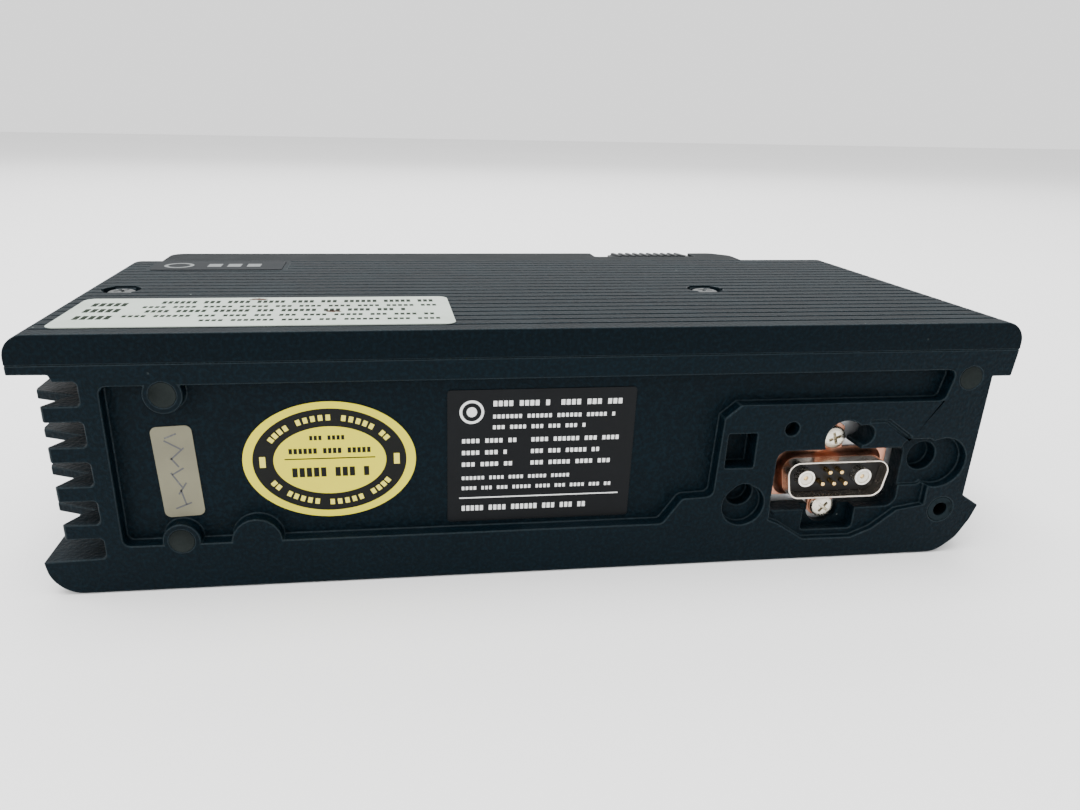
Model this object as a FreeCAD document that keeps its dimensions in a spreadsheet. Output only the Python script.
"""Mobile radio transceiver unit: a finned die-cast case with its boards, dock connector and slide lock.

Millimetres. +X runs along the long side, +Y to the rear, +Z up. The origin is the middle of the footprint,
on the surface that the unit rests on. The dock face, with the connector, is the front.
"""
import FreeCAD, Part
import math
import os

import Sketcher

doc = FreeCAD.newDocument("MobileTransceiver")
sheet = doc.addObject("Spreadsheet::Sheet", "Dims")


class Amount:
    """A number together with the spreadsheet formula that gives it."""

    def __init__(self, value, text):
        self.value = value
        self.text = text

    def _with(self, other, sign, flipped=False):
        other = amount(other)
        left, right = (other, self) if flipped else (self, other)
        results = {
            "+": lambda: left.value + right.value,
            "-": lambda: left.value - right.value,
            "*": lambda: left.value * right.value,
            "/": lambda: left.value / right.value,
        }
        return Amount(results[sign](), f"({left.text} {sign} {right.text})")

    def __add__(self, other):
        return self._with(other, "+")

    def __radd__(self, other):
        return self._with(other, "+", flipped=True)

    def __sub__(self, other):
        return self._with(other, "-")

    def __rsub__(self, other):
        return self._with(other, "-", flipped=True)

    def __mul__(self, other):
        return self._with(other, "*")

    def __rmul__(self, other):
        return self._with(other, "*", flipped=True)

    def __truediv__(self, other):
        return self._with(other, "/")

    def __neg__(self):
        return self._with(-1, "*")


def amount(number):
    """The number as an Amount, whether it is one already or a plain number."""
    return number if isinstance(number, Amount) else Amount(float(number), f"({float(number):.6g})")


# ---------------------------------------------------------------- driving dimensions
DIMENSIONS = [
    ("overall_length", 210.0, "cover edge to cover edge"),
    ("overall_depth", 102.0, "dock face to back of the rear block"),
    ("cover_depth", 88.0, "front to back of the cover"),
    ("overall_height", 55.8, "feet to top of the cover"),
    ("parting_height", 49.8, "joint between housing and cover"),
    ("wall", 3.0, "cast wall"),
    ("floor_thickness", 3.5, "cast floor"),
    ("front_wall", 6.8, "cast dock face"),
    ("fin_projection", 12.5, "left wall to fin tips"),
    ("right_step", 4.9, "right wall in from the flange edge"),
    ("flange_edge", 1.9, "flange thickness at its left edge"),
    ("right_skirt", 6.1, "flange depth on the right"),
    ("rail_top", 8.1, "top of the left foot rail"),
    ("foot_round", 6.4, "rounding of the foot corners"),
    ("fin_thickness", 2.0, "heat sink fin"),
    ("fin_pitch", 8.5, "heat sink fin spacing"),
    ("fin_first_top", 16.0, "top of the lowest fin"),
    ("fin_root", 0.9, "rounding where the fins leave the wall"),
    ("fin_count", 4, "heat sink fins"),
    ("tooth_thickness", 3.3, "fin end at the dock face"),
    ("tooth_reach", 7.7, "fin end out of the left wall"),
    ("tooth_depth", 5.8, "fin end back from the dock face"),
    ("recess_depth", 3.2, "label recess in the dock face"),
    ("boss_radius", 3.9, "plug boss in the label recess"),
    ("pattern_left", -77.0, "left fixing holes"),
    ("pattern_right", 95.0, "right fixing holes"),
    ("pattern_low", 11.3, "lower fixing holes"),
    ("pattern_high", 43.4, "upper fixing holes"),
    ("plug_radius", 2.6, "fixing hole plug"),
    ("plug_length", 3.0, "fixing hole plug"),
    ("insert_radius", 3.1, "threaded insert outside"),
    ("thread_radius", 1.6, "threaded insert bore"),
    ("insert_length", 6.0, "threaded insert"),
    ("rib_pitch", 4.0, "cover groove spacing"),
    ("first_groove", 4.2, "front edge to first groove"),
    ("groove_width", 0.9, "cover groove"),
    ("groove_depth", 0.7, "cover groove"),
    ("groove_count", 21, "cover grooves"),
    ("cover_edge_radius", 4.6, "rounded long ends of the cover"),
    ("cover_skin", 2.8, "cover top thickness"),
    ("cover_rim", 4.5, "cover rim width"),
    ("cover_screw_left", -94.7, "left cover screw"),
    ("cover_screw_right", 47.3, "right cover screw"),
    ("cover_screw_left_y", -6.6, "left cover screw"),
    ("cover_screw_right_y", -10.4, "right cover screw"),
    ("cover_screw_head", 3.25, "cover screw head radius"),
    ("counterbore", 4.4, "cover screw counterbore radius"),
    ("screw_post", 4.2, "cover screw post radius"),
    ("gasket_thickness", 0.5, "cord gasket"),
    ("label_thickness", 0.2, "stickers"),
    ("connector_x", 67.8, "dock connector centre"),
    ("connector_z", 19.8, "dock connector centre"),
    ("shell_width", 25.2, "dock connector shell, widest"),
    ("shell_height", 9.0, "dock connector shell"),
    ("shell_wall", 0.4, "dock connector shell"),
    ("dock_flange", 0.8, "dock connector flange plate"),
    ("ear_half", 3.05, "half the width of the flange's two ears"),
    ("upper_notch", 4.6, "dock face notch round the upper connector screw"),
    ("lower_notch", 4.0, "dock face notch round the lower connector screw"),
    ("dock_screw_rise", 8.65, "dock connector screw from the centre"),
    ("coax_offset", 6.86, "coax contact from the centre"),
    ("pin_pitch", 2.77, "signal pin spacing"),
    ("pin_row_half", 1.4, "signal pin row from the centre"),
    ("float_gap", 0.75, "room for the floating connector"),
    ("socket_x", 86.7, "handset socket"),
    ("socket_z", 30.0, "handset socket"),
    ("block_left", -95.4, "rear block"),
    ("block_right", 77.0, "rear block"),
    ("block_bottom", 8.0, "rear block"),
    ("block_wall", 2.5, "rear block"),
    ("slider_left", 38.0, "lock slider grip"),
    ("slider_length", 26.0, "lock slider grip"),
    ("slider_travel", 5.0, "lock slider"),
    ("bolt_reach", 4.0, "lock bolt out of the block"),
    ("duplexer_front", -14.0, "front face of the duplexer"),
    ("board_thickness", 1.6, "circuit boards"),
    ("radio_board_level", 9.0, "underside of the radio board"),
    ("logic_board_level", 34.0, "underside of the logic board"),
    ("standoff_radius", 2.6, "board standoffs"),
    ("board_screw_radius", 1.25, "M2.5 board screws"),
]


class Dims:
    """The sheet's cells by their names."""


for line, (alias, value, note) in enumerate(DIMENSIONS, start=1):
    sheet.set(f"A{line}", note)
    sheet.set(f"B{line}", str(value))
    sheet.setAlias(f"B{line}", alias)
    setattr(Dims, alias, Amount(float(value), f"Dims.{alias}"))
doc.recompute()

# ---------------------------------------------------------------- places that follow from them
half_length = Dims.overall_length / 2
front = -Dims.overall_depth / 2
cover_back = front + Dims.cover_depth
block_back = Dims.overall_depth / 2
left_face = Dims.fin_projection - half_length
right_face = half_length - Dims.right_step
recess_floor = front + Dims.recess_depth
front_inside = front + Dims.front_wall
back_inside = cover_back - Dims.wall
left_inside = left_face + Dims.wall
right_inside = right_face - Dims.wall
radio_top = Dims.radio_board_level + Dims.board_thickness
logic_top = Dims.logic_board_level + Dims.board_thickness
pieces = []


# ---------------------------------------------------------------- helpers
def bind(item, prop, value):
    """Ties a property to its formula."""
    item.setExpression(prop, amount(value).text)


def keep(item, label):
    """Names a finished piece and puts it on the list of pieces to write."""
    item.Label = label
    pieces.append(item)
    return item


def body_named(label):
    """A new body for one piece."""
    return keep(doc.addObject("PartDesign::Body", label), label)


def sketch_on(body, plane, level):
    """A sketch parallel to one of the body's own planes, moved along that plane's normal to level."""
    sketch = body.newObject("Sketcher::SketchObject", f"{body.Name}_sketch")
    support = next(item for item in body.Origin.OriginFeatures if item.Role == plane)
    sketch.AttachmentSupport = (support, [""])
    sketch.MapMode = "FlatFace"
    bind(sketch, "AttachmentOffset.Base.z", level)
    return sketch


def fix(sketch, kind, geometry, point, value):
    """Adds one constraint whose size follows its formula."""
    value = amount(value)
    place = (geometry,) if point is None else (geometry, point)
    index = sketch.addConstraint(Sketcher.Constraint(kind, *place, value.value))
    sketch.setExpression(f"Constraints[{index}]", value.text)


def draw_outline(sketch, points):
    """A closed outline of straight lines through the points."""
    points = [(amount(x), amount(y)) for x, y in points]
    first = sketch.GeometryCount
    count = len(points)
    for index, (x, y) in enumerate(points):
        end_x, end_y = points[(index + 1) % count]
        start = FreeCAD.Vector(x.value, y.value, 0)
        end = FreeCAD.Vector(end_x.value, end_y.value, 0)
        sketch.addGeometry(Part.LineSegment(start, end), False)
    for index, (x, y) in enumerate(points):
        following = first + (index + 1) % count
        sketch.addConstraint(Sketcher.Constraint("Coincident", first + index, 2, following, 1))
        fix(sketch, "DistanceX", first + index, 1, x)
        fix(sketch, "DistanceY", first + index, 1, y)


def draw_circle(sketch, x, y, radius):
    """A circle about a point."""
    x, y, radius = amount(x), amount(y), amount(radius)
    centre = FreeCAD.Vector(x.value, y.value, 0)
    ring = sketch.addGeometry(Part.Circle(centre, FreeCAD.Vector(0, 0, 1), radius.value), False)
    fix(sketch, "DistanceX", ring, 3, x)
    fix(sketch, "DistanceY", ring, 3, y)
    fix(sketch, "Radius", ring, None, radius)


def draw_rounded(sketch, low, high, radius):
    """A rectangle between two corners, its own corners rounded."""
    left, bottom, right, top = amount(low[0]), amount(low[1]), amount(high[0]), amount(high[1])
    radius = amount(radius)
    x0, y0, x1, y1, r = left.value, bottom.value, right.value, top.value, radius.value
    corners = [(x1 - r, y0 + r, -90), (x1 - r, y1 - r, 0), (x0 + r, y1 - r, 90), (x0 + r, y0 + r, 180)]
    sides = [
        ((x0 + r, y0), (x1 - r, y0)),
        ((x1, y0 + r), (x1, y1 - r)),
        ((x1 - r, y1), (x0 + r, y1)),
        ((x0, y1 - r), (x0, y0 + r)),
    ]
    lines, arcs = [], []
    for (start, end), (cx, cy, angle) in zip(sides, corners):
        segment = Part.LineSegment(FreeCAD.Vector(*start, 0), FreeCAD.Vector(*end, 0))
        lines.append(sketch.addGeometry(segment, False))
        circle = Part.Circle(FreeCAD.Vector(cx, cy, 0), FreeCAD.Vector(0, 0, 1), r)
        arc = Part.ArcOfCircle(circle, math.radians(angle), math.radians(angle + 90))
        arcs.append(sketch.addGeometry(arc, False))
    for index in range(4):
        sketch.addConstraint(Sketcher.Constraint("Tangent", lines[index], 2, arcs[index], 1))
        sketch.addConstraint(Sketcher.Constraint("Tangent", arcs[index], 2, lines[(index + 1) % 4], 1))
        if index:
            sketch.addConstraint(Sketcher.Constraint("Equal", arcs[0], arcs[index]))
    sketch.addConstraint(Sketcher.Constraint("Horizontal", lines[0]))
    sketch.addConstraint(Sketcher.Constraint("Horizontal", lines[2]))
    sketch.addConstraint(Sketcher.Constraint("Vertical", lines[1]))
    sketch.addConstraint(Sketcher.Constraint("Vertical", lines[3]))
    fix(sketch, "DistanceX", lines[3], 1, left)
    fix(sketch, "DistanceX", lines[1], 1, right)
    fix(sketch, "DistanceY", lines[0], 1, bottom)
    fix(sketch, "DistanceY", lines[2], 1, top)
    fix(sketch, "Radius", arcs[0], None, radius)


def raise_sketch(body, sketch, length, flipped=False):
    """A pad out of the sketch's plane."""
    pad = body.newObject("PartDesign::Pad", f"{body.Name}_pad")
    pad.Profile = sketch
    pad.Reversed = flipped
    bind(pad, "Length", length)
    doc.recompute()
    return pad


def sink_sketch(body, sketch, length, flipped=False):
    """A pocket into the body behind the sketch's plane, refused if it takes nothing away."""
    before = body.Shape.Volume
    pocket = body.newObject("PartDesign::Pocket", f"{body.Name}_pocket")
    pocket.Profile = sketch
    pocket.Reversed = flipped
    bind(pocket, "Length", length)
    doc.recompute()
    if body.Shape.Volume > before - 1e-6:
        raise ValueError(f"{body.Label}: a pocket cuts nothing")
    return pocket


def repeat(body, feature, axis, pitch, count):
    """A row of copies of one feature along one of the body's own axes."""
    row = body.newObject("PartDesign::LinearPattern", f"{body.Name}_row")
    row.Originals = [feature]
    row.Direction = (next(item for item in body.Origin.OriginFeatures if item.Role == axis), [""])
    bind(row, "Length", pitch * (count - 1))
    bind(row, "Occurrences", count)
    body.Tip = row
    doc.recompute()
    return row


def round_edges(body, radius, axis, places):
    """Rounds the straight edges that run along an axis through the places, given by the other two axes."""
    others = [index for index in range(3) if index != "XYZ".index(axis)]
    names = []
    for index, edge in enumerate(body.Shape.Edges, start=1):
        ends = [vertex.Point for vertex in edge.Vertexes]
        if len(ends) != 2 or edge.Curve.TypeId != "Part::GeomLine":
            continue
        if any(abs(ends[0][other] - ends[1][other]) > 1e-4 for other in others):
            continue
        for place in places:
            if all(abs(ends[0][o] - amount(p).value) < 0.05 for o, p in zip(others, place)):
                names.append(f"Edge{index}")
    if not names:
        raise ValueError(f"{body.Label}: no edge to round")
    base = body.Tip
    fillet = body.newObject("PartDesign::Fillet", f"{body.Name}_fillet")
    fillet.Base = (base, names)
    bind(fillet, "Radius", radius)
    doc.recompute()
    return fillet


def block(low, high):
    """A box between two corners."""
    box = doc.addObject("Part::Box", "box")
    for prop, start, end in zip(("Length", "Width", "Height"), low, high):
        bind(box, prop, amount(end) - start)
    for letter, start in zip("xyz", low):
        bind(box, f"Placement.Base.{letter}", start)
    return box


TURNS = {
    "X": FreeCAD.Rotation(FreeCAD.Vector(0, 1, 0), 90),
    "Y": FreeCAD.Rotation(FreeCAD.Vector(1, 0, 0), -90),
    "Z": FreeCAD.Rotation(),
}


def rod(start, axis, radius, length):
    """A cylinder from a point towards +X, +Y or +Z."""
    cylinder = doc.addObject("Part::Cylinder", "rod")
    bind(cylinder, "Radius", radius)
    bind(cylinder, "Height", length)
    cylinder.Placement = FreeCAD.Placement(FreeCAD.Vector(), TURNS[axis])
    for letter, value in zip("xyz", start):
        bind(cylinder, f"Placement.Base.{letter}", value)
    return cylinder


def fused(*solids):
    """One solid made of several that meet."""
    if len(solids) == 1:
        return solids[0]
    whole = doc.addObject("Part::MultiFuse", "fused")
    whole.Shapes = list(solids)
    return whole


def carved(base, *tools):
    """A solid with others cut out of it."""
    cut = doc.addObject("Part::Cut", "carved")
    cut.Base = base
    cut.Tool = fused(*tools)
    return cut


def separate(*solids):
    """Separate solids that share one node."""
    group = doc.addObject("Part::Compound", "group")
    group.Links = list(solids)
    return group


def shifted(point, axis, step):
    """A point moved along an axis."""
    return tuple(amount(value) + (step if letter == axis else 0) for letter, value in zip("XYZ", point))


def tube(start, axis, outer, inner, length):
    """A round sleeve."""
    return carved(rod(start, axis, outer, length), rod(shifted(start, axis, -1), axis, inner, length + 2))


def plate(label, plane, level, thickness, low, high, radius, holes=()):
    """A flat piece with rounded corners and round holes, given as (x, y, radius)."""
    body = body_named(label)
    sketch = sketch_on(body, plane, level)
    draw_rounded(sketch, low, high, radius)
    for x, y, hole in holes:
        draw_circle(sketch, x, y, hole)
    raise_sketch(body, sketch, thickness)
    return body


def cross_screw(head, axis, side, head_radius, head_height, shank_radius, shank_length):
    """A cross-recess screw. head is the seat under its head, and side is 1 where the head points to +axis."""
    cap_start = head if side > 0 else shifted(head, axis, -amount(head_height))
    shank_start = shifted(head, axis, -amount(shank_length)) if side > 0 else head
    solid = fused(rod(cap_start, axis, head_radius, head_height),
                  rod(shank_start, axis, shank_radius, shank_length))
    depth = amount(head_height) * 0.6
    arm = amount(head_radius) * 0.62
    half = amount(head_radius) * 0.13
    slots = []
    across = [letter for letter in "XYZ" if letter != axis]
    top = shifted(head, axis, amount(head_height) * side)
    for long_way in across:
        low, high = list(top), list(top)
        for index, letter in enumerate("XYZ"):
            if letter == axis:
                low[index] = top[index] - depth if side > 0 else top[index] - 1
                high[index] = top[index] + 1 if side > 0 else top[index] + depth
            else:
                reach = arm if letter == long_way else half
                low[index] = top[index] - reach
                high[index] = top[index] + reach
        slots.append(block(low, high))
    return carved(solid, *slots)


# ---------------------------------------------------------------- case
def lower_housing():
    """The die-cast body: floor, walls, flange, foot rails, heat sink fins and dock face."""
    body = body_named("lower_housing")
    section = sketch_on(body, "XZ_Plane", -cover_back)
    draw_outline(section, [
        (left_face - 8.1, 0),
        (right_face - 4, 0),
        (right_face + 0.6, 3.6),
        (right_face + 3.2, 8.4),
        (right_face + 4.4, 12),
        (right_face, 14.7),
        (right_face, Dims.parting_height - Dims.right_skirt),
        (half_length - 0.5, Dims.parting_height - Dims.right_skirt),
        (half_length, Dims.parting_height),
        (-half_length, Dims.parting_height),
        (-half_length, Dims.parting_height - Dims.flange_edge),
        (left_face - 5, Dims.parting_height - Dims.flange_edge - 0.1),
        (left_face - 4.4, Dims.parting_height - 3.4),
        (left_face, Dims.parting_height - 3.4),
        (left_face, Dims.rail_top),
        (-half_length, Dims.rail_top - 0.4),
        (-half_length + 0.6, Dims.rail_top - 4.5),
    ])
    raise_sketch(body, section, Dims.cover_depth)
    round_edges(body, Dims.foot_round, "Y", [(left_face - 8.1, 0), (right_face - 4, 0)])
    round_edges(body, Dims.foot_round, "Y", [(-half_length + 0.6, Dims.rail_top - 4.5)])
    round_edges(body, Dims.foot_round, "Y", [(right_face + 0.6, 3.6)])
    for thickness, plan in (
        (Dims.fin_thickness, [
            (left_face + 1, front + 5),
            (left_face - 3.6, front + 7.6),
            (-half_length + 0.4, front + 11.6),
            (-half_length, front + 13),
            (-half_length, cover_back),
            (left_face + 1, cover_back),
        ]),
        (Dims.tooth_thickness, [
            (left_face + 1, front),
            (left_face - Dims.tooth_reach + 0.5, front),
            (left_face - Dims.tooth_reach, front + 0.8),
            (left_face - Dims.tooth_reach + 2.6, front + Dims.tooth_depth),
            (left_face - 2.4, front + Dims.tooth_depth + 2.2),
            (left_face + 1, front + Dims.tooth_depth + 2.2),
        ]),
    ):
        fin = sketch_on(body, "XY_Plane", Dims.fin_first_top - thickness)
        draw_outline(fin, plan)
        repeat(body, raise_sketch(body, fin, thickness), "Z_Axis", Dims.fin_pitch, Dims.fin_count)
    roots = [(left_face, Dims.rail_top), (left_face, Dims.parting_height - 3.4)]
    for index in range(4):
        top = Dims.fin_first_top + Dims.fin_pitch * index
        roots += [(left_face, top), (left_face, top - Dims.tooth_thickness)]
    round_edges(body, Dims.fin_root, "Y", roots)
    post = sketch_on(body, "XY_Plane", Dims.fin_first_top)
    draw_circle(post, Dims.cover_screw_left, Dims.cover_screw_left_y, Dims.screw_post)
    raise_sketch(body, post, Dims.parting_height - Dims.fin_first_top)
    cavity = sketch_on(body, "XY_Plane", Dims.parting_height)
    draw_rounded(cavity, (left_inside, front_inside), (right_inside, back_inside), 3)
    sink_sketch(body, cavity, Dims.parting_height - Dims.floor_thickness)
    post = sketch_on(body, "XY_Plane", Dims.floor_thickness - 1)
    draw_circle(post, Dims.cover_screw_right, Dims.cover_screw_right_y, Dims.screw_post)
    raise_sketch(body, post, Dims.parting_height - Dims.floor_thickness + 1)
    threads = sketch_on(body, "XY_Plane", Dims.parting_height)
    draw_circle(threads, Dims.cover_screw_left, Dims.cover_screw_left_y, Dims.thread_radius)
    draw_circle(threads, Dims.cover_screw_right, Dims.cover_screw_right_y, Dims.thread_radius)
    sink_sketch(body, threads, amount(10))
    gasket_groove = sketch_on(body, "XY_Plane", Dims.parting_height)
    draw_rounded(gasket_groove, (left_inside - 2.1, front_inside - 2.1),
                 (right_inside + 2.1, back_inside + 2.1), 4.5)
    draw_rounded(gasket_groove, (left_inside - 1.1, front_inside - 1.1),
                 (right_inside + 1.1, back_inside + 1.1), 3.5)
    sink_sketch(body, gasket_groove, Dims.gasket_thickness)
    dock_face(body)
    rear_openings(body)
    round_edges(body, amount(2.2), "Z", [(half_length, cover_back), (-half_length, cover_back)])


def dock_face(body):
    """The label recess, the plug bosses, the fixing holes and everything round the dock connector."""
    high, low = 45.3, 10.6
    recess = sketch_on(body, "XZ_Plane", -front)
    draw_outline(recess, [
        (left_face + 3.8, high),
        (right_face - 8.8, high),
        (right_face - 10.3, 38.3),
        (Dims.connector_x - 25.4, 38.3),
        (Dims.connector_x - 28.8, 35.4),
        (Dims.connector_x - 29.4, 16.9),
        (Dims.connector_x - 36.4, 16.6),
        (Dims.connector_x - 40.6, low),
        (left_face + 3.8, low),
    ])
    sink_sketch(body, recess, Dims.recess_depth)
    round_edges(body, amount(1.6), "Y", [
        (left_face + 3.8, high),
        (left_face + 3.8, low),
        (right_face - 8.8, high),
        (right_face - 10.3, 38.3),
        (Dims.connector_x - 29.4, 16.9),
        (Dims.connector_x - 36.4, 16.6),
        (Dims.connector_x - 40.6, low),
    ])
    bosses = sketch_on(body, "XZ_Plane", -(recess_floor + 0.5))
    draw_circle(bosses, Dims.pattern_left, Dims.pattern_high, Dims.boss_radius)
    draw_circle(bosses, Dims.pattern_left, Dims.pattern_low, Dims.boss_radius)
    draw_circle(bosses, -61.6, low - 0.2, 5.3)
    raise_sketch(body, bosses, Dims.recess_depth + 0.5)
    for x, z, radius, depth in (
        (Dims.pattern_left, Dims.pattern_high, Dims.plug_radius, Dims.plug_length),
        (Dims.pattern_left, Dims.pattern_low, Dims.plug_radius, Dims.plug_length),
        (Dims.pattern_right, Dims.pattern_high, Dims.plug_radius, Dims.plug_length),
        (Dims.pattern_right, Dims.pattern_low, Dims.insert_radius, Dims.insert_length),
        (54.9, 32.5, 1.6, 4.0),
        (45.6, 16.6, 3.05, 5.5),
        (45.9, 14.4, 4.9, 2.4),
        (88.8, 24.2, 3.4, 5.5),
        (92.4, 23.2, 6.0, 2.4),
    ):
        hole = sketch_on(body, "XZ_Plane", -front)
        draw_circle(hole, x, z, radius)
        sink_sketch(body, hole, depth)
    for low_corner, high_corner, radius, depth in (
        ((40.4, 23.6), (47.0, 31.7), 0.4, 5.0),
        ((82.0, 17.3), (90.0, 29.2), 2.0, 2.4),
        ((Dims.connector_x - 15.4, 12.0), (Dims.connector_x + 16.2, 27.3), 2.4, Dims.front_wall),
        ((61.6, 6.7), (74.2, 12.6), 0.8, 4.6),
    ):
        hole = sketch_on(body, "XZ_Plane", -front)
        draw_rounded(hole, low_corner, high_corner, radius)
        sink_sketch(body, hole, depth)
    for x, z, radius in (
        (Dims.connector_x, Dims.connector_z + Dims.dock_screw_rise + 1.05, Dims.upper_notch),
        (Dims.connector_x, Dims.connector_z - Dims.dock_screw_rise, Dims.lower_notch),
        (72.2, 30.6, 2.4),
    ):
        hole = sketch_on(body, "XZ_Plane", -front)
        draw_circle(hole, x, z, radius)
        sink_sketch(body, hole, Dims.front_wall)
    apron = sketch_on(body, "XZ_Plane", -front)
    draw_outline(apron, [
        (52.6, 13.2), (52.6, 10.4), (55.2, 9.3), (61.8, 5.1), (73.6, 5.0), (78.4, 7.0), (83.9, 11.5),
        (90.4, 12.6), (90.4, 18.4), (83.0, 18.4),
    ])
    sink_sketch(body, apron, amount(1.6))
    crease = sketch_on(body, "XZ_Plane", -front)
    draw_outline(crease, [
        (73.2, 34.2), (77.2, 34.2), (83.7, 29.8), (83.3, 29.3), (77.0, 33.6), (73.2, 33.6),
    ])
    sink_sketch(body, crease, amount(0.4))


def rear_openings(body):
    """Holes in the rear wall: the handset socket and the rear block's screws."""
    for x, z, radius in (
        (Dims.socket_x, Dims.socket_z, 6.6),
        (-86.0, 14.0, 1.7),
        (-86.0, 42.0, 1.7),
        (70.0, 14.0, 1.7),
        (12.0, 42.0, 1.7),
    ):
        hole = sketch_on(body, "XZ_Plane", -(back_inside - 1))
        draw_circle(hole, x, z, radius)
        sink_sketch(body, hole, Dims.wall + 2)


def top_cover():
    """The die-cast cover with its lengthwise ribs and the smooth patch for the badge."""
    body = body_named("top_cover")
    outline = sketch_on(body, "XZ_Plane", -cover_back)
    draw_outline(outline, [
        (-half_length, Dims.parting_height),
        (half_length, Dims.parting_height),
        (half_length, Dims.overall_height),
        (-half_length, Dims.overall_height),
    ])
    raise_sketch(body, outline, Dims.cover_depth)
    round_edges(body, Dims.cover_edge_radius, "Y",
                [(half_length, Dims.overall_height), (-half_length, Dims.overall_height)])
    hollow = sketch_on(body, "XY_Plane", Dims.parting_height)
    draw_rounded(hollow, (Dims.cover_rim - half_length, front + Dims.cover_rim),
                 (half_length - Dims.cover_rim, cover_back - Dims.cover_rim), 3)
    draw_circle(hollow, Dims.cover_screw_left, Dims.cover_screw_left_y, Dims.screw_post + 0.8)
    draw_circle(hollow, Dims.cover_screw_right, Dims.cover_screw_right_y, Dims.screw_post + 0.8)
    sink_sketch(body, hollow, Dims.overall_height - Dims.parting_height - Dims.cover_skin, flipped=True)
    groove = sketch_on(body, "YZ_Plane", half_length + 1)
    groove_front = front + Dims.first_groove
    draw_outline(groove, [
        (groove_front, Dims.overall_height + 1),
        (groove_front, Dims.overall_height - Dims.groove_depth),
        (groove_front + Dims.groove_width, Dims.overall_height - Dims.groove_depth),
        (groove_front + Dims.groove_width, Dims.overall_height + 1),
    ])
    cut = sink_sketch(body, groove, Dims.overall_length + 2)
    repeat(body, cut, "Y_Axis", Dims.rib_pitch, Dims.groove_count)
    patch = sketch_on(body, "XY_Plane", Dims.overall_height - Dims.groove_depth - 0.2)
    draw_rounded(patch, (-96.0, 18.2), (-59.0, 34.2), 1)
    raise_sketch(body, patch, Dims.groove_depth + 0.2)
    for x, y in ((Dims.cover_screw_left, Dims.cover_screw_left_y),
                 (Dims.cover_screw_right, Dims.cover_screw_right_y)):
        bore = sketch_on(body, "XY_Plane", Dims.overall_height)
        draw_circle(bore, x, y, Dims.counterbore)
        sink_sketch(body, bore, amount(2.2))
        clearance = sketch_on(body, "XY_Plane", Dims.overall_height)
        draw_circle(clearance, x, y, 1.8)
        sink_sketch(body, clearance, amount(10))
    round_edges(body, amount(2.2), "Z", [(half_length, cover_back), (-half_length, cover_back)])


def cover_fittings():
    """The gasket, screws, badge and notice label of the cover."""
    gasket = body_named("cover_gasket")
    ring = sketch_on(gasket, "XY_Plane", Dims.parting_height - Dims.gasket_thickness)
    draw_rounded(ring, (left_inside - 2.05, front_inside - 2.05),
                 (right_inside + 2.05, back_inside + 2.05), 4.45)
    draw_rounded(ring, (left_inside - 1.15, front_inside - 1.15),
                 (right_inside + 1.15, back_inside + 1.15), 3.55)
    raise_sketch(gasket, ring, Dims.gasket_thickness)
    seat = Dims.overall_height - 2.2
    keep(separate(*[
        cross_screw((x, y, seat), "Z", 1, Dims.cover_screw_head, 1.9, 1.5, 9.0)
        for x, y in ((Dims.cover_screw_left, Dims.cover_screw_left_y),
                     (Dims.cover_screw_right, Dims.cover_screw_right_y))
    ]), "cover_screws")
    plate("cover_badge", "XY_Plane", Dims.overall_height, Dims.label_thickness,
          (-94.6, 19.3), (-60.4, 33.1), 0.8)
    plate("notice_label", "XY_Plane", Dims.overall_height, Dims.label_thickness,
          (-98.7, -46.4), (-18.9, -18.8), 2.2)


def dock_face_labels():
    """The rating plate and the stickers in the recess, the plugs and the threaded insert."""
    level = -(recess_floor)
    plate("rating_plate", "XZ_Plane", level, Dims.label_thickness, (-21.0, 11.8), (19.8, 42.2), 0.8)
    oval = doc.addObject("Part::Ellipse", "oval")
    bind(oval, "MajorRadius", 17.95)
    bind(oval, "MinorRadius", 13.0)
    oval.Placement = FreeCAD.Placement(FreeCAD.Vector(-45.65, 0, 27.4), TURNS["Y"])
    bind(oval, "Placement.Base.y", recess_floor)
    sticker = doc.addObject("Part::Extrusion", "approval_sticker")
    sticker.Base = oval
    sticker.Dir = (0, -1, 0)
    sticker.Solid = True
    bind(sticker, "LengthFwd", Dims.label_thickness)
    keep(sticker, "approval_sticker")
    tag = plate("inventory_sticker", "XZ_Plane", level, Dims.label_thickness,
                (-4.1, -10.1), (4.1, 10.1), 1.4)
    tag.Placement = FreeCAD.Placement(
        FreeCAD.Vector(-76.7, 0, 25.8), FreeCAD.Rotation(FreeCAD.Vector(0, 1, 0), -2.5))
    plug_depth = Dims.plug_length - 0.1
    keep(separate(*[
        rod((x, front + 0.05, z), "Y", Dims.plug_radius, plug_depth)
        for x, z in ((Dims.pattern_left, Dims.pattern_high), (Dims.pattern_left, Dims.pattern_low),
                     (Dims.pattern_right, Dims.pattern_high))
    ]), "fixing_plugs")
    keep(tube((Dims.pattern_right, front + 0.1, Dims.pattern_low), "Y", Dims.insert_radius,
              Dims.thread_radius, Dims.insert_length - 0.1), "threaded_insert")


# ---------------------------------------------------------------- dock connector
def shell_outline(sketch, grow):
    """The D shape of the connector shell, widened all round by grow."""
    half_width = Dims.shell_width / 2 + grow
    half_height = Dims.shell_height / 2 + grow
    lean = 1.5
    corners = [
        (Dims.connector_x - half_width + lean, Dims.connector_z - half_height),
        (Dims.connector_x + half_width - lean, Dims.connector_z - half_height),
        (Dims.connector_x + half_width, Dims.connector_z + half_height),
        (Dims.connector_x - half_width, Dims.connector_z + half_height),
    ]
    draw_outline(sketch, corners)
    return corners


def shell_solid(start, length, grow, corner):
    """A solid of the D shape, from a depth towards the front."""
    body = doc.addObject("PartDesign::Body", "shell_solid")
    sketch = sketch_on(body, "XZ_Plane", -start)
    corners = shell_outline(sketch, grow)
    raise_sketch(body, sketch, length)
    round_edges(body, corner, "Y", corners)
    return body


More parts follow.
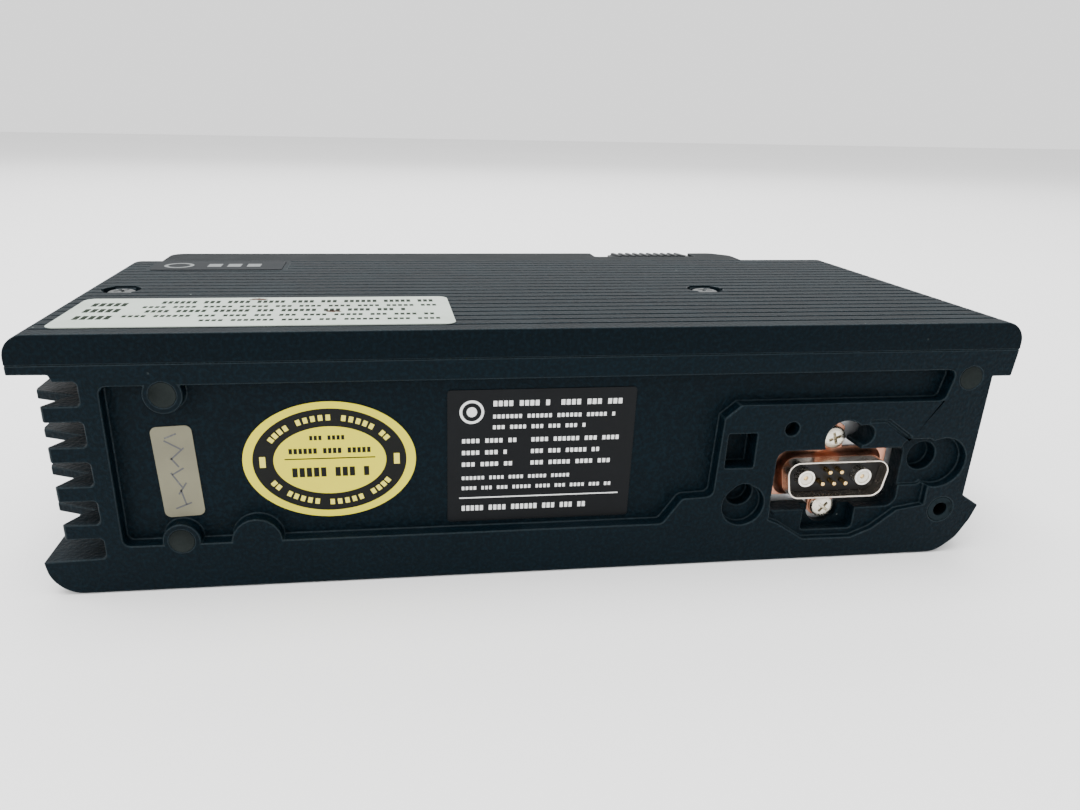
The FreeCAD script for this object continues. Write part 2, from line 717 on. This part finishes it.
def dock_connector():
    """The floating blind-mate connector: flange, shell, insulator, contacts and its rear board."""
    x, z = Dims.connector_x, Dims.connector_z
    flange_back = front_inside - 0.1
    flange_front = flange_back - Dims.dock_flange
    insulator_front = front + 3.4
    rise = Dims.dock_screw_rise
    flange = body_named("dock_flange")
    sketch = sketch_on(flange, "XZ_Plane", -flange_back)
    draw_rounded(sketch, (x - 14.4, 14.0), (x + 14.4, 25.6), 1.0)
    draw_rounded(sketch, (x - 11.4, z - 3.6), (x + 11.4, z + 3.6), 1.0)
    raise_sketch(flange, sketch, Dims.dock_flange)
    ear = Dims.ear_half
    ears = sketch_on(flange, "XZ_Plane", -flange_back)
    draw_outline(ears, [
        (x - ear, 25.0), (x + ear, 25.0), (x + ear, z + rise + 2.2), (x + 1.6, z + rise + 3.2),
        (x - 1.6, z + rise + 3.2), (x - ear, z + rise + 2.2),
    ])
    draw_outline(ears, [
        (x - ear, 14.6), (x - ear, z - rise - 1.4), (x - 1.6, z - rise - 2.6), (x + 1.6, z - rise - 2.6),
        (x + ear, z - rise - 1.4), (x + ear, 14.6),
    ])
    raise_sketch(flange, ears, Dims.dock_flange)
    holes = sketch_on(flange, "XZ_Plane", -flange_front)
    draw_circle(holes, x, z + rise, 1.5 + Dims.float_gap)
    draw_circle(holes, x, z - rise, 1.5 + Dims.float_gap)
    sink_sketch(flange, holes, Dims.dock_flange + 1)

    keep(carved(
        shell_solid(flange_front, flange_front - front - 0.1, amount(0), amount(2.9)),
        shell_solid(flange_front + 1, flange_front - front + 2, -Dims.shell_wall, amount(2.4)),
    ), "dock_shell")

    insulator = shell_solid(flange_front, flange_front - insulator_front, -Dims.shell_wall, amount(2.4))
    keep(insulator, "dock_insulator")
    tail = sketch_on(insulator, "XZ_Plane", -(flange_front + 9))
    draw_rounded(tail, (x - 11.3, z - 3.5), (x + 11.3, z + 3.5), 0.9)
    raise_sketch(insulator, tail, amount(9))
    holes = sketch_on(insulator, "XZ_Plane", -insulator_front)
    for side in (-1, 1):
        draw_circle(holes, x + side * Dims.coax_offset, z, 2.0)
    for place_x, place_z in pin_places():
        draw_circle(holes, place_x, place_z, 0.55)
    sink_sketch(insulator, holes, amount(30))

    tip = front + 1.2
    coax_ends = [x - Dims.coax_offset, x + Dims.coax_offset]
    tail_end = flange_front + 12
    keep(separate(*[tube((place, tip, z), "Y", 2.0, 1.5, tail_end - tip) for place in coax_ends]),
         "coax_sleeves")
    keep(separate(*[tube((place, tip + 0.3, z), "Y", 1.5, 0.55, 9.0) for place in coax_ends]),
         "coax_dielectrics")
    keep(separate(*[rod((place, tip + 0.6, z), "Y", 0.55, 10.0) for place in coax_ends]), "coax_centres")
    keep(separate(*[
        rod((place_x, tip - 0.2, place_z), "Y", 0.5, tail_end + 1.0 - tip)
        for place_x, place_z in pin_places()
    ]), "signal_pins")
    plate("connector_board", "XZ_Plane", -(flange_front + 11.2), 1.2,
                  (x - 4.2, z - 3.6), (x + 4.2, z + 3.6), 0.6,
                  [(place_x, place_z, 0.55) for place_x, place_z in pin_places()])

    bracket = plate("dock_bracket", "XZ_Plane", -(front_inside + 1.5), 1.5, (49.0, 6.4), (87.6, 33.6), 1.5,
                    [(x, z + rise, 1.52), (x, z - rise, 1.52), (51.6, 9.2, 1.3), (51.6, 30.8, 1.3),
                     (85.0, 9.2, 1.3), (85.0, 30.8, 1.3)])
    window = sketch_on(bracket, "XZ_Plane", -front_inside)
    draw_rounded(window, (x - 13.2, z - 5.2), (x + 13.2, z + 5.2), 1.5)
    sink_sketch(bracket, window, amount(3))
    keep(separate(*[
        cross_screw((x, flange_front - 0.1, place), "Y", -1, 2.7, 1.7, 1.5, 5.0)
        for place in (z + rise, z - rise)
    ]), "dock_screws")


def pin_places():
    """The five signal pins: two in the upper row and three in the lower."""
    x, z = Dims.connector_x, Dims.connector_z
    upper = [(x + (step - 0.5) * Dims.pin_pitch, z + Dims.pin_row_half) for step in range(2)]
    lower = [(x + (step - 1) * Dims.pin_pitch, z - Dims.pin_row_half) for step in range(3)]
    return upper + lower


# ---------------------------------------------------------------- rear block and lock
def rear_block():
    """The moulded block behind the cover, hollow towards the case, with the lock's notch and guides."""
    body = body_named("rear_block")
    wall = Dims.block_wall
    plan = sketch_on(body, "XY_Plane", Dims.block_bottom)
    draw_outline(plan, [
        (Dims.block_left, cover_back), (Dims.block_right, cover_back),
        (Dims.block_right, block_back - 5), (Dims.block_right - 5, block_back),
        (Dims.block_left, block_back),
    ])
    raise_sketch(body, plan, Dims.overall_height - 0.3 - Dims.block_bottom)
    round_edges(body, amount(4), "Z", [
        (Dims.block_left, block_back), (Dims.block_right, block_back - 5), (Dims.block_right - 5, block_back),
    ])
    hollow = sketch_on(body, "XZ_Plane", -cover_back)
    draw_rounded(hollow, (Dims.block_left + wall, Dims.block_bottom + wall),
                 (Dims.block_right - wall, Dims.overall_height - 0.3 - wall), 2)
    sink_sketch(body, hollow, Dims.overall_depth - Dims.cover_depth - wall)
    round_edges(body, amount(1.2), "X", [(block_back, Dims.block_bottom)])
    bosses = sketch_on(body, "XZ_Plane", -(block_back - wall + 0.5))
    for x, z in ((-86.0, 14.0), (-86.0, 42.0), (70.0, 14.0), (12.0, 42.0)):
        draw_circle(bosses, x, z, 3.6)
    raise_sketch(body, bosses, block_back - wall + 0.5 - cover_back)
    holes = sketch_on(body, "XZ_Plane", -cover_back)
    for x, z in ((-86.0, 14.0), (-86.0, 42.0), (70.0, 14.0), (12.0, 42.0)):
        draw_circle(holes, x, z, 1.25)
    sink_sketch(body, holes, amount(9))
    notch = sketch_on(body, "XY_Plane", Dims.overall_height)
    draw_rounded(notch, (Dims.slider_left - Dims.slider_travel - 0.6, 44.0),
                 (Dims.slider_left + Dims.slider_length + 0.5, block_back + 4), 0.8)
    sink_sketch(body, notch, Dims.overall_height - 48.6)
    slot = sketch_on(body, "YZ_Plane", Dims.block_right + 1)
    draw_rounded(slot, (39.7, 40.2), (45.3, 45.8), 0.6)
    sink_sketch(body, slot, Dims.block_wall + 3)
    stop = sketch_on(body, "XZ_Plane", -(block_back - wall + 0.5))
    draw_rounded(stop, (18.0, 37.0), (20.0, 49.0), 0.5)
    draw_rounded(stop, (18.0, 34.6), (66.0, 36.6), 0.5)
    raise_sketch(body, stop, block_back - wall + 0.5 - (cover_back + 1))


def lock_slider():
    """The sliding grip with its slanted ridges, its stem, and the bolt that locks the unit in its tray."""
    grip_low = (Dims.slider_left, amount(44.4), amount(49.0))
    grip_high = (Dims.slider_left + Dims.slider_length, block_back, Dims.overall_height - 0.9)
    grip = block(grip_low, grip_high)
    stem = block((Dims.slider_left + 4, 44.4, 45.0), (Dims.slider_left + 22, 47.6, 50.0))
    bar = block((Dims.slider_left + 2, 40.0, 40.5), (Dims.block_right + Dims.bolt_reach, 45.0, 45.5))
    pin = rod((Dims.slider_left - 4, 42.5, 43.0), "X", 1.4, 8)
    ridges = []
    ridge_count = 10
    spacing = (Dims.slider_length - 3) / ridge_count
    for step in range(ridge_count):
        ridge = block((0, 0, 0), (1.2, 5.6, 1.0))
        ridge.Placement = FreeCAD.Placement(FreeCAD.Vector(), FreeCAD.Rotation(FreeCAD.Vector(0, 0, 1), 14))
        bind(ridge, "Placement.Base.x", Dims.slider_left + 2.2 + spacing * step)
        bind(ridge, "Placement.Base.y", 45.0)
        bind(ridge, "Placement.Base.z", Dims.overall_height - 1.1)
        ridges.append(ridge)
    keep(fused(grip, stem, bar, pin, *ridges), "lock_slider")


def lock_spring():
    """The coil that pushes the bolt out, between the stop rib and the slider's pin."""
    helix = doc.addObject("Part::Helix", "spring_line")
    bind(helix, "Pitch", 2.6)
    bind(helix, "Height", 18.6)
    bind(helix, "Radius", 2.1)
    wire = doc.addObject("Part::Circle", "spring_wire")
    bind(wire, "Radius", 0.35)
    wire.Placement = FreeCAD.Placement(
        FreeCAD.Vector(2.1, 0, 0), FreeCAD.Rotation(FreeCAD.Vector(1, 0, 0), 90))
    coil = doc.addObject("Part::Sweep", "lock_spring")
    coil.Sections = [wire]
    coil.Spine = helix
    coil.Solid = True
    coil.Frenet = True
    coil.Placement = FreeCAD.Placement(FreeCAD.Vector(20.6, 42.5, 43.0), TURNS["X"])
    keep(coil, "lock_spring")


def handset_socket():
    """The round socket in the rear wall for the handset lead, with its insert, contacts and nut."""
    x, z = Dims.socket_x, Dims.socket_z
    shell = fused(tube((x, cover_back - 6, z), "Y", 6.5, 5.2, 14.0),
                  tube((x, cover_back + 0.05, z), "Y", 9.0, 5.2, 2.0))
    keep(shell, "handset_socket")
    keep(tube((x, back_inside - 2.1, z), "Y", 8.2, 6.55, 2.0), "handset_socket_nut")
    insert = rod((x, cover_back - 5, z), "Y", 5.15, 8.0)
    ring = [(x + 3.2 * math.cos(math.radians(angle)), z + 3.2 * math.sin(math.radians(angle)))
            for angle in range(20, 360, 40)]
    bores = [rod((place_x, cover_back - 6, place_z), "Y", 0.55, 12.0) for place_x, place_z in ring]
    keep(carved(insert, *bores), "handset_insert")
    keep(separate(*[rod((place_x, cover_back - 7.5, place_z), "Y", 0.5, 14.5) for place_x, place_z in ring]),
         "handset_contacts")


# ---------------------------------------------------------------- boards and modules
BOARD_HOLES = [(-82.0, -37.0), (-82.0, 27.0), (36.0, 27.0), (36.0, -37.0)]


def boards():
    """The radio board on its standoffs, and the logic board above it."""
    holes = [(x, y, Dims.board_screw_radius + 0.2) for x, y in BOARD_HOLES]
    plate("radio_board", "XY_Plane", Dims.radio_board_level, Dims.board_thickness,
          (-86.0, -41.0), (41.0, 31.0), 1.5, holes)
    plate("logic_board", "XY_Plane", Dims.logic_board_level, Dims.board_thickness,
          (-86.0, -41.0), (41.0, 31.0), 1.5, holes)
    keep(separate(*[
        tube((x, y, Dims.floor_thickness), "Z", Dims.standoff_radius, Dims.board_screw_radius,
             Dims.radio_board_level - Dims.floor_thickness) for x, y in BOARD_HOLES
    ]), "board_standoffs")
    keep(separate(*[
        tube((x, y, radio_top), "Z", Dims.standoff_radius, Dims.board_screw_radius,
             Dims.logic_board_level - radio_top) for x, y in BOARD_HOLES
    ]), "board_spacers")
    keep(separate(*[
        cross_screw((x, y, logic_top), "Z", 1, 2.3, 1.6, Dims.board_screw_radius,
                    logic_top - Dims.floor_thickness - 0.5) for x, y in BOARD_HOLES
    ]), "board_screws")


def shielding():
    """The receiver's shield: a fence soldered to the radio board and its lift-off lid."""
    low, high = (-64.0, -32.0), (-8.0, 24.0)
    top = radio_top + 11
    fence = plate("shield_fence", "XY_Plane", radio_top, 11.0, low, high, 1.0)
    for left, right in ((-63.5, -37.0), (-36.5, -8.5)):
        room = sketch_on(fence, "XY_Plane", top)
        draw_rounded(room, (left, -31.5), (right, 23.5), 0.6)
        sink_sketch(fence, room, amount(12))
    lid = plate("shield_lid", "XY_Plane", top + 0.4, 0.5, (-65.0, -33.0), (-7.0, 25.0), 1.4)
    skirt = sketch_on(lid, "XY_Plane", top + 0.5)
    draw_rounded(skirt, (-65.0, -33.0), (-7.0, 25.0), 1.4)
    draw_rounded(skirt, (-64.5, -32.5), (-7.5, 24.5), 1.0)
    raise_sketch(lid, skirt, amount(4.0), flipped=True)


def power_stage():
    """The transmitter's power module on the heat sink wall, with its pad and screws."""
    face = left_inside
    plate("thermal_pad", "YZ_Plane", face, 0.3, (-24.0, 16.0), (24.0, 31.0), 0.6,
          [(-20.0, 23.5, 1.7), (20.0, 23.5, 1.7)])
    foot = carved(block((face + 0.3, -24.0, 16.0), (face + 3.3, 24.0, 31.0)),
                  rod((face, -20.0, 23.5), "X", 1.6, 5), rod((face, 20.0, 23.5), "X", 1.6, 5))
    case = block((face + 3.3, -15.0, 17.0), (face + 9.5, 15.0, 30.0))
    keep(fused(foot, case), "power_module")
    keep(separate(*[
        cross_screw((face + 3.3, y, 23.5), "X", 1, 2.7, 1.8, 1.5, 3.3) for y in (-20.0, 20.0)
    ]), "power_module_screws")


def duplexer():
    """The cavity filter that joins the aerial to receiver and transmitter, with its tuning screws."""
    block_solid = block((54.0, Dims.duplexer_front, 4.0), (94.0, 28.0, 26.0))
    cavities = [rod((x, y, 6.5), "Z", 7.2, 25) for x in (63.5, 84.5) for y in (-5.0, 19.0)]
    resonators = [tube((x, y, 6.0), "Z", 2.2, 1.3, 14.0) for x in (63.5, 84.5) for y in (-5.0, 19.0)]
    keep(fused(carved(block_solid, *cavities), *resonators), "duplexer_block")
    tuners = [(x, y) for x in (63.5, 84.5) for y in (-5.0, 19.0)]
    plate("duplexer_lid", "XY_Plane", 26.0, 2.0, (54.0, -14.0), (94.0, 28.0), 0.5,
          [(x, y, 1.55) for x, y in tuners])
    keep(separate(*[
        cross_screw((x, y, 28.0), "Z", 1, 2.6, 1.6, 1.5, 8.0) for x, y in tuners
    ]), "duplexer_tuners")
    keep(separate(*[block((x, 28.0, 3.6), (x + 8, 31.0, 9.0)) for x in (58.0, 80.0)]), "duplexer_feet")


def board_parts():
    """The larger parts that stand on the two boards."""
    keep(separate(
        rod((10.0, -30.0, radio_top), "Z", 5.0, 16.0),
        rod((23.0, -30.0, radio_top), "Z", 5.0, 16.0),
        rod((10.0, -18.0, radio_top), "Z", 4.0, 13.0),
    ), "filter_capacitors")
    keep(tube((26.0, -14.0, radio_top), "Z", 6.5, 3.2, 6.0), "supply_choke")
    keep(fused(rod((2.0, 20.0, radio_top + 3.2), "X", 2.6, 20.0),
               block((3.0, 18.0, radio_top), (6.0, 22.0, radio_top + 2.0)),
               block((18.0, 18.0, radio_top), (21.0, 22.0, radio_top + 2.0))), "supply_fuse")
    plate("synthesizer_can", "XY_Plane", radio_top, 9.0, (-2.0, -6.0), (20.0, 14.0), 1.2)
    keep(separate(block((-50.0, 8.0, logic_top), (-42.0, 12.0, logic_top + 3.6)),
                  block((-78.0, -20.0, logic_top), (-70.0, -16.0, logic_top + 3.6))), "crystals")
    chips = [(-60.0, -20.0, 18.0, 18.0), (-30.0, -22.0, 22.0, 10.0), (-30.0, -6.0, 22.0, 10.0),
             (0.0, -20.0, 14.0, 14.0), (-60.0, 16.0, 14.0, 8.0), (10.0, 8.0, 12.0, 12.0)]
    keep(separate(*[
        block((x, y, logic_top), (x + width, y + depth, logic_top + 2.6)) for x, y, width, depth in chips
    ]), "logic_chips")
    keep(separate(block((37.0, -8.0, logic_top), (40.5, 14.0, logic_top + 5.0)),
                  block((37.0, -8.0, radio_top), (40.5, 14.0, radio_top + 5.0))), "board_headers")
    keep(fused(
        block((40.5, -6.0, radio_top + 2.2), (43.4, 12.0, radio_top + 2.6)),
        block((43.0, -6.0, radio_top + 2.2), (43.4, 12.0, logic_top + 2.6)),
        block((40.5, -6.0, logic_top + 2.2), (43.4, 12.0, logic_top + 2.6)),
    ), "board_link")


def coax_leads():
    """The two inside leads from the dock connector's coax contacts to the duplexer."""
    start = front_inside + 8.2
    keep(separate(*[
        rod((Dims.connector_x + side * Dims.coax_offset, start, Dims.connector_z), "Y", 0.9,
            Dims.duplexer_front - start) for side in (-1, 1)
    ]), "coax_leads")


def check_and_write():
    """Stops on any failed object, then writes one file for each piece."""
    doc.recompute()
    for item in doc.Objects:
        if "Invalid" in item.State or "Error" in item.State:
            raise ValueError(f"{item.Label} failed: {item.State}")
    os.makedirs("parts", exist_ok=True)
    for piece in pieces:
        shape = piece.Shape
        if shape.isNull() or not shape.isValid() or not shape.Solids:
            raise ValueError(f"{piece.Label} has no valid solid")
        shape.exportStep(f"parts/{piece.Label}.step")


lower_housing()
top_cover()
cover_fittings()
dock_face_labels()
dock_connector()
rear_block()
lock_slider()
lock_spring()
handset_socket()
boards()
shielding()
power_stage()
duplexer()
board_parts()
coax_leads()
check_and_write()
